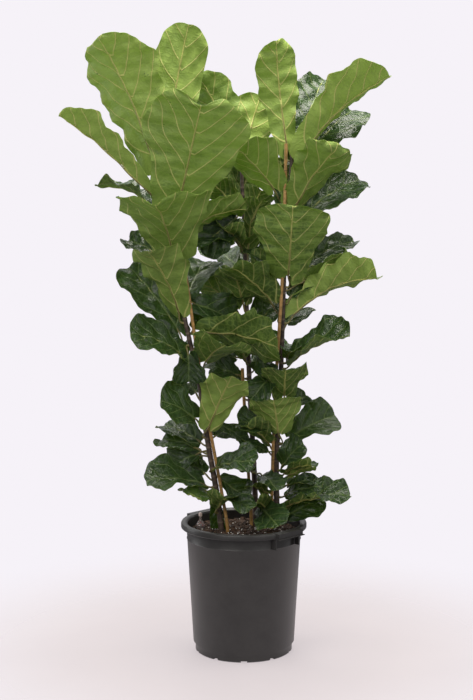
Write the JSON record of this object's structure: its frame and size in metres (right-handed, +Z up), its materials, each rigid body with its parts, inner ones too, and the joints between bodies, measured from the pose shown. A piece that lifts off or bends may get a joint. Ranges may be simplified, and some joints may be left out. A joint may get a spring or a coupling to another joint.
{
  "type": "potted fiddle leaf fig",
  "caption": "Tall potted fiddle leaf fig: leafy stems tied to bamboo canes in a round nursery pot with two rim grips, standing free on the floor.",
  "frame": {"origin": "centre of the pot's underside, on its axis, on the floor", "axes": "+Z up along the pot's axis, +X to the right as seen from the front, +Y to the back"},
  "size_m": [0.8842, 0.4706, 1.706],
  "materials": {
    "pot_plastic": "satin",
    "potting_mix": "matte",
    "stem_bark": "matte",
    "bamboo": "satin",
    "tie": "satin",
    "ampoule": "gloss",
    "ampoule_cap": "satin",
    "leaf": "satin"
  },
  "bodies": {
    "root": {"pot": "pot_plastic", "potting_mix": "potting_mix", "stem_left": "stem_bark", "stem_centre": "stem_bark", "stem_right": "stem_bark", "cane_left": "bamboo", "cane_centre": "bamboo", "cane_right": "bamboo", "tie_left_low": "tie", "tie_left_high": "tie", "tie_right": "tie", "feeder_bottle": "ampoule", "feeder_cap": "ampoule_cap", "leaf_left_01": "leaf", "leaf_left_02": "leaf", "leaf_left_03": "leaf", "leaf_left_04": "leaf", "leaf_left_05": "leaf", "leaf_left_06": "leaf", "leaf_left_07": "leaf", "leaf_left_08": "leaf", "leaf_left_09": "leaf", "leaf_left_10": "leaf", "leaf_left_11": "leaf", "leaf_left_12": "leaf", "leaf_left_13": "leaf", "leaf_left_14": "leaf", "leaf_left_15": "leaf", "leaf_left_16": "leaf", "leaf_left_17": "leaf", "leaf_left_18": "leaf", "leaf_left_19": "leaf", "leaf_left_20": "leaf", "leaf_left_21": "leaf", "leaf_centre_01": "leaf", "leaf_centre_02": "leaf", "leaf_centre_03": "leaf", "leaf_centre_04": "leaf", "leaf_centre_05": "leaf", "leaf_centre_06": "leaf", "leaf_centre_07": "leaf", "leaf_centre_08": "leaf", "leaf_centre_09": "leaf", "leaf_right_01": "leaf", "leaf_right_02": "leaf", "leaf_right_03": "leaf", "leaf_right_04": "leaf", "leaf_right_05": "leaf", "leaf_right_06": "leaf", "leaf_right_07": "leaf", "leaf_right_08": "leaf", "leaf_right_09": "leaf", "leaf_right_10": "leaf", "leaf_right_11": "leaf", "leaf_right_12": "leaf", "leaf_right_13": "leaf", "leaf_right_14": "leaf", "leaf_right_15": "leaf", "leaf_right_16": "leaf", "leaf_right_17": "leaf"}
  },
  "joints": []
}
